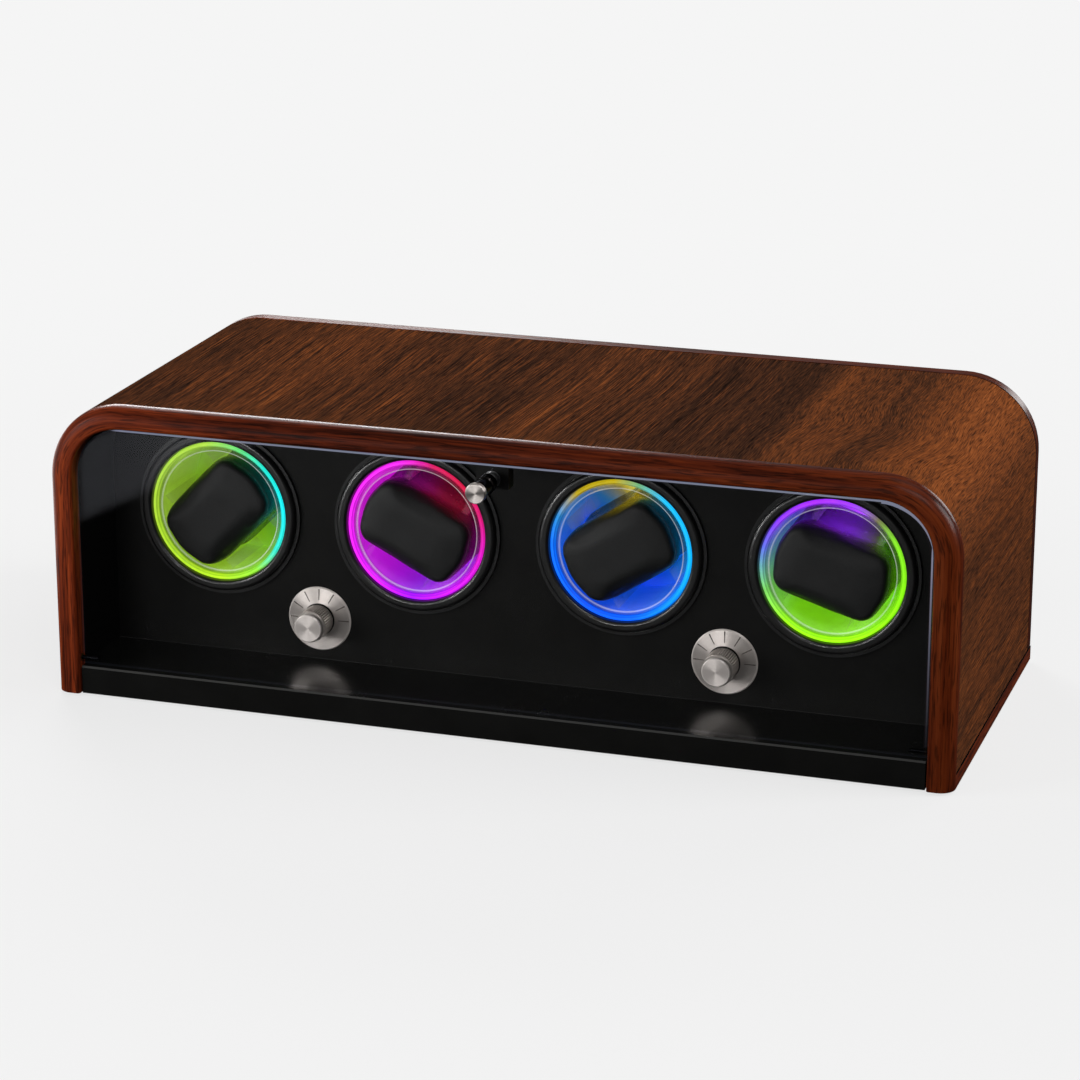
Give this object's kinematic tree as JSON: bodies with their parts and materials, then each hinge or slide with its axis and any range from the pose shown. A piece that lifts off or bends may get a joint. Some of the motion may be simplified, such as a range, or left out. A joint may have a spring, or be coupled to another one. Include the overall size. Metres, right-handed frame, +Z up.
{
  "type": "watch winder",
  "caption": "Wood-veneered box with a clear flap door and lit turning cups, belt driven, whose cushions carry and wind automatic watches.",
  "frame": {"origin": "on the standing surface, under the middle of the overall box", "axes": "+X to the right, +Y to the back, +Z up; the door faces -Y"},
  "size_m": [0.45, 0.2116, 0.15],
  "materials": {
    "veneer": "dark figured veneer under clear lacquer",
    "edging": "red-brown solid wood, glossy",
    "board": "black-stained board",
    "black_lacquer": "black satin lacquer",
    "black_gloss": "black gloss moulding",
    "frosted_guide": "frosted light guide",
    "clear_acrylic": "polished clear acrylic",
    "leather": "soft black leather",
    "black_nylon": "moulded nylon",
    "rubber": "black rubber",
    "brass": "turned brass",
    "steel": "spun and brushed",
    "black_chrome": "black chrome",
    "circuit_board": "glass-fibre board"
  },
  "bodies": {
    "case": {"case_shell": "veneer", "front_trim": "edging", "rear_trim": "edging", "base_strips": "edging", "base_board": "board", "battens": "board", "bearing_board": "board", "back_panel": "board", "front_plinth": "black_lacquer", "cabin_floor": "black_lacquer", "front_panel": "black_lacquer", "bezel_ring_1": "black_gloss", "bezel_ring_2": "black_gloss", "bezel_ring_3": "black_gloss", "bezel_ring_4": "black_gloss", "door_catch": "black_gloss", "light_guide_1": "frosted_guide", "light_guide_2": "frosted_guide", "light_guide_3": "frosted_guide", "light_guide_4": "frosted_guide", "selector_switches": "black_nylon", "dc_jack": "black_nylon", "board_standoffs": "black_nylon", "belt_left": "rubber", "belt_right": "rubber", "rubber_feet": "rubber", "shaft_bushes": "brass", "pivot_bushes": "brass", "knob_plate_left": "steel", "knob_plate_right": "steel", "back_panel_screws": "steel", "catch_magnet": "steel", "motor_left": "steel", "motor_right": "steel", "led_rings": "circuit_board", "control_board": "circuit_board"},
    "door": {"door_pane": "clear_acrylic", "hinge_pins": "steel", "pull_knob": "black_chrome", "pull_cap": "steel", "pull_screw": "steel"},
    "rotor_1": {"rotor_cup_1": "clear_acrylic", "rotor_shaft_1": "black_nylon"},
    "rotor_2": {"rotor_cup_2": "clear_acrylic", "rotor_shaft_2": "black_nylon"},
    "rotor_3": {"rotor_cup_3": "clear_acrylic", "rotor_shaft_3": "black_nylon"},
    "rotor_4": {"rotor_cup_4": "clear_acrylic", "rotor_shaft_4": "black_nylon"},
    "pad_1": {"cushion_1": "leather"},
    "pad_2": {"cushion_2": "leather"},
    "pad_3": {"cushion_3": "leather"},
    "pad_4": {"cushion_4": "leather"},
    "drive_left": {"motor_pulley_left": "black_nylon"},
    "drive_right": {"motor_pulley_right": "black_nylon"},
    "selector_left": {"selector_knob_left": "steel", "knob_cap_left": "steel"},
    "selector_right": {"selector_knob_right": "steel", "knob_cap_right": "steel"}
  },
  "joints": [
    {"name": "door_hinge", "type": "hinge", "parent": "case", "child": "door", "pos_m": [0, -0.08525, 0.0193], "axis": [1, 0, 0], "range_deg": [0, 85]},
    {"name": "rotor_1_spin", "type": "hinge", "parent": "case", "child": "rotor_1", "pos_m": [-0.15525, 0, 0.0875], "axis": [0, 1, 0], "continuous": true},
    {"name": "rotor_2_spin", "type": "hinge", "parent": "case", "child": "rotor_2", "pos_m": [-0.05175, 0, 0.0875], "axis": [0, 1, 0], "continuous": true},
    {"name": "rotor_3_spin", "type": "hinge", "parent": "case", "child": "rotor_3", "pos_m": [0.05175, 0, 0.0875], "axis": [0, 1, 0], "continuous": true},
    {"name": "rotor_4_spin", "type": "hinge", "parent": "case", "child": "rotor_4", "pos_m": [0.15525, 0, 0.0875], "axis": [0, 1, 0], "continuous": true},
    {"name": "cushion_1_slide", "type": "slide", "parent": "rotor_1", "child": "pad_1", "axis": [0, -1, 0], "range_m": [0, 0.024]},
    {"name": "cushion_2_slide", "type": "slide", "parent": "rotor_2", "child": "pad_2", "axis": [0, -1, 0], "range_m": [0, 0.024]},
    {"name": "cushion_3_slide", "type": "slide", "parent": "rotor_3", "child": "pad_3", "axis": [0, -1, 0], "range_m": [0, 0.024]},
    {"name": "cushion_4_slide", "type": "slide", "parent": "rotor_4", "child": "pad_4", "axis": [0, -1, 0], "range_m": [0, 0.024]},
    {"name": "drive_left_spin", "type": "hinge", "parent": "case", "child": "drive_left", "pos_m": [-0.1035, 0, 0.05], "axis": [0, 1, 0], "continuous": true},
    {"name": "drive_right_spin", "type": "hinge", "parent": "case", "child": "drive_right", "pos_m": [0.1035, 0, 0.05], "axis": [0, 1, 0], "continuous": true},
    {"name": "selector_left_turn", "type": "hinge", "parent": "case", "child": "selector_left", "pos_m": [-0.1035, 0, 0.0365], "axis": [0, 1, 0], "range_deg": [-135, 135]},
    {"name": "selector_right_turn", "type": "hinge", "parent": "case", "child": "selector_right", "pos_m": [0.1035, 0, 0.0365], "axis": [0, 1, 0], "range_deg": [-135, 135]}
  ],
  "couplings": [
    {"joint": "rotor_2_spin", "follows": "rotor_1_spin", "ratio": 1},
    {"joint": "drive_left_spin", "follows": "rotor_1_spin", "ratio": 2},
    {"joint": "rotor_4_spin", "follows": "rotor_3_spin", "ratio": 1},
    {"joint": "drive_right_spin", "follows": "rotor_3_spin", "ratio": 2}
  ]
}
